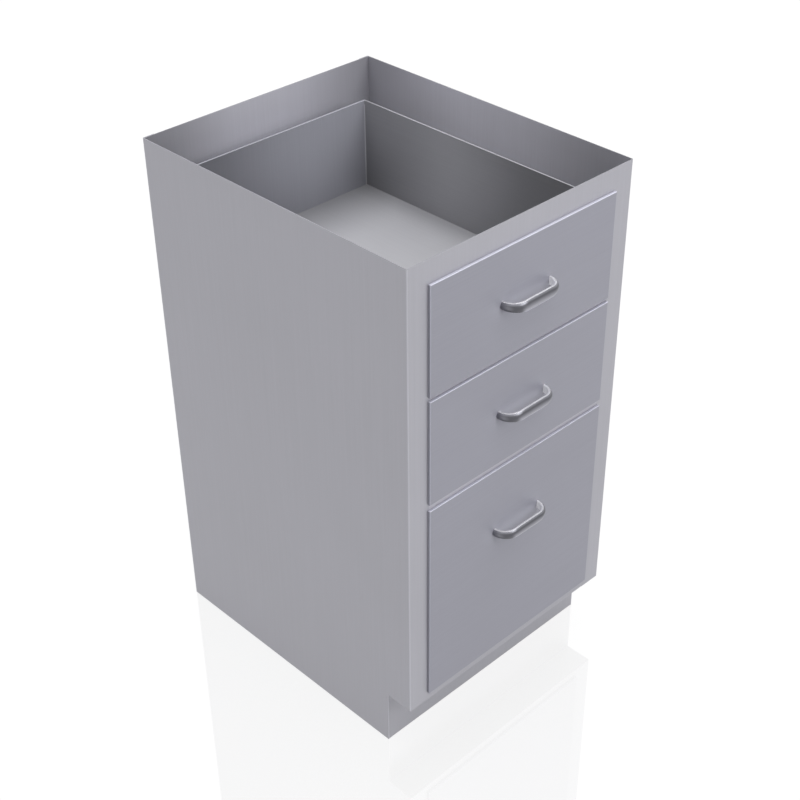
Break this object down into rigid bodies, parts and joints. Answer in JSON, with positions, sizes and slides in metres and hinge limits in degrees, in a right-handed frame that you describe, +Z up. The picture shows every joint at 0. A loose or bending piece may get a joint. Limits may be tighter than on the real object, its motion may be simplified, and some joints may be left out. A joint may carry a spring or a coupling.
{
  "type": "stainless steel drawer cabinet",
  "caption": "Open-topped stainless steel base cabinet with a toe space and drawers on full-extension ball bearing slides, each with a bow pull.",
  "frame": {"origin": "floor, under the middle of the whole width and of the whole depth with the pulls", "axes": "+Z up, -Y towards the front where the drawers open, +X to the right of a person facing the front"},
  "size_m": [0.4572, 0.5922, 0.8953],
  "materials": {
    "body_steel": "brushed stainless sheet, fine vertical grain",
    "front_steel": "brushed stainless sheet, fine horizontal grain",
    "drawer_steel": "satin stainless sheet",
    "support_steel": "satin formed sheet",
    "pull_steel": "satin polished bar",
    "slide_steel": "zinc plated, cold rolled",
    "cage_steel": "thin plated strip",
    "ball_steel": "polished",
    "screw_steel": "plain stainless fasteners",
    "core_board": "pressed fibre board",
    "rubber": "matte moulded rubber"
  },
  "bodies": {
    "cabinet": {"left_side_panel": "body_steel", "right_side_panel": "body_steel", "back_panel": "body_steel", "top_front_rail": "body_steel", "upper_divider_rail": "body_steel", "lower_divider_rail": "body_steel", "bottom_panel": "body_steel", "toe_board": "body_steel", "left_front_upright": "support_steel", "right_front_upright": "support_steel", "left_rear_upright": "support_steel", "right_rear_upright": "support_steel", "corner_gussets": "support_steel", "levelling_screws": "screw_steel", "levelling_nuts": "screw_steel", "slide_screws": "screw_steel", "slide_bumpers": "rubber", "upper_cabinet_members": "slide_steel", "middle_cabinet_members": "slide_steel", "lower_cabinet_members": "slide_steel"},
    "upper_drawer": {"upper_front_panel": "front_steel", "upper_front_liner": "drawer_steel", "upper_front_core": "core_board", "upper_drawer_box": "drawer_steel", "upper_drawer_back": "drawer_steel", "upper_pull": "pull_steel", "upper_pull_screws": "screw_steel", "upper_drawer_members": "slide_steel"},
    "upper_slide_middle": {"upper_middle_members": "slide_steel"},
    "upper_outer_balls_cages": {"upper_outer_cages": "cage_steel", "upper_outer_balls": "ball_steel"},
    "upper_inner_balls_cages": {"upper_inner_cages": "cage_steel", "upper_inner_balls": "ball_steel"},
    "middle_drawer": {"middle_front_panel": "front_steel", "middle_front_liner": "drawer_steel", "middle_front_core": "core_board", "middle_drawer_box": "drawer_steel", "middle_drawer_back": "drawer_steel", "middle_pull": "pull_steel", "middle_pull_screws": "screw_steel", "middle_drawer_members": "slide_steel"},
    "middle_slide_middle": {"middle_middle_members": "slide_steel"},
    "middle_outer_balls_cages": {"middle_outer_cages": "cage_steel", "middle_outer_balls": "ball_steel"},
    "middle_inner_balls_cages": {"middle_inner_cages": "cage_steel", "middle_inner_balls": "ball_steel"},
    "lower_drawer": {"lower_front_panel": "front_steel", "lower_front_liner": "drawer_steel", "lower_front_core": "core_board", "lower_drawer_box": "drawer_steel", "lower_drawer_back": "drawer_steel", "lower_pull": "pull_steel", "lower_pull_screws": "screw_steel", "lower_drawer_members": "slide_steel"},
    "lower_slide_middle": {"lower_middle_members": "slide_steel"},
    "lower_outer_balls_cages": {"lower_outer_cages": "cage_steel", "lower_outer_balls": "ball_steel"},
    "lower_inner_balls_cages": {"lower_inner_cages": "cage_steel", "lower_inner_balls": "ball_steel"}
  },
  "joints": [
    {"name": "upper_drawer_opens", "type": "slide", "parent": "cabinet", "child": "upper_drawer", "axis": [0, -1, 0], "range_m": [0, 0.4572]},
    {"name": "upper_middle_members_follow", "type": "slide", "parent": "cabinet", "child": "upper_slide_middle", "axis": [0, -1, 0], "range_m": [0, 0.2286]},
    {"name": "upper_outer_cages_follow", "type": "slide", "parent": "cabinet", "child": "upper_outer_balls_cages", "axis": [0, -1, 0], "range_m": [0, 0.1143]},
    {"name": "upper_inner_cages_follow", "type": "slide", "parent": "cabinet", "child": "upper_inner_balls_cages", "axis": [0, -1, 0], "range_m": [0, 0.3429]},
    {"name": "middle_drawer_opens", "type": "slide", "parent": "cabinet", "child": "middle_drawer", "axis": [0, -1, 0], "range_m": [0, 0.4572]},
    {"name": "middle_middle_members_follow", "type": "slide", "parent": "cabinet", "child": "middle_slide_middle", "axis": [0, -1, 0], "range_m": [0, 0.2286]},
    {"name": "middle_outer_cages_follow", "type": "slide", "parent": "cabinet", "child": "middle_outer_balls_cages", "axis": [0, -1, 0], "range_m": [0, 0.1143]},
    {"name": "middle_inner_cages_follow", "type": "slide", "parent": "cabinet", "child": "middle_inner_balls_cages", "axis": [0, -1, 0], "range_m": [0, 0.3429]},
    {"name": "lower_drawer_opens", "type": "slide", "parent": "cabinet", "child": "lower_drawer", "axis": [0, -1, 0], "range_m": [0, 0.4572]},
    {"name": "lower_middle_members_follow", "type": "slide", "parent": "cabinet", "child": "lower_slide_middle", "axis": [0, -1, 0], "range_m": [0, 0.2286]},
    {"name": "lower_outer_cages_follow", "type": "slide", "parent": "cabinet", "child": "lower_outer_balls_cages", "axis": [0, -1, 0], "range_m": [0, 0.1143]},
    {"name": "lower_inner_cages_follow", "type": "slide", "parent": "cabinet", "child": "lower_inner_balls_cages", "axis": [0, -1, 0], "range_m": [0, 0.3429]}
  ],
  "couplings": [
    {"joint": "upper_middle_members_follow", "follows": "upper_drawer_opens", "ratio": 0.5},
    {"joint": "upper_outer_cages_follow", "follows": "upper_drawer_opens", "ratio": 0.25},
    {"joint": "upper_inner_cages_follow", "follows": "upper_drawer_opens", "ratio": 0.75},
    {"joint": "middle_middle_members_follow", "follows": "middle_drawer_opens", "ratio": 0.5},
    {"joint": "middle_outer_cages_follow", "follows": "middle_drawer_opens", "ratio": 0.25},
    {"joint": "middle_inner_cages_follow", "follows": "middle_drawer_opens", "ratio": 0.75},
    {"joint": "lower_middle_members_follow", "follows": "lower_drawer_opens", "ratio": 0.5},
    {"joint": "lower_outer_cages_follow", "follows": "lower_drawer_opens", "ratio": 0.25},
    {"joint": "lower_inner_cages_follow", "follows": "lower_drawer_opens", "ratio": 0.75}
  ]
}
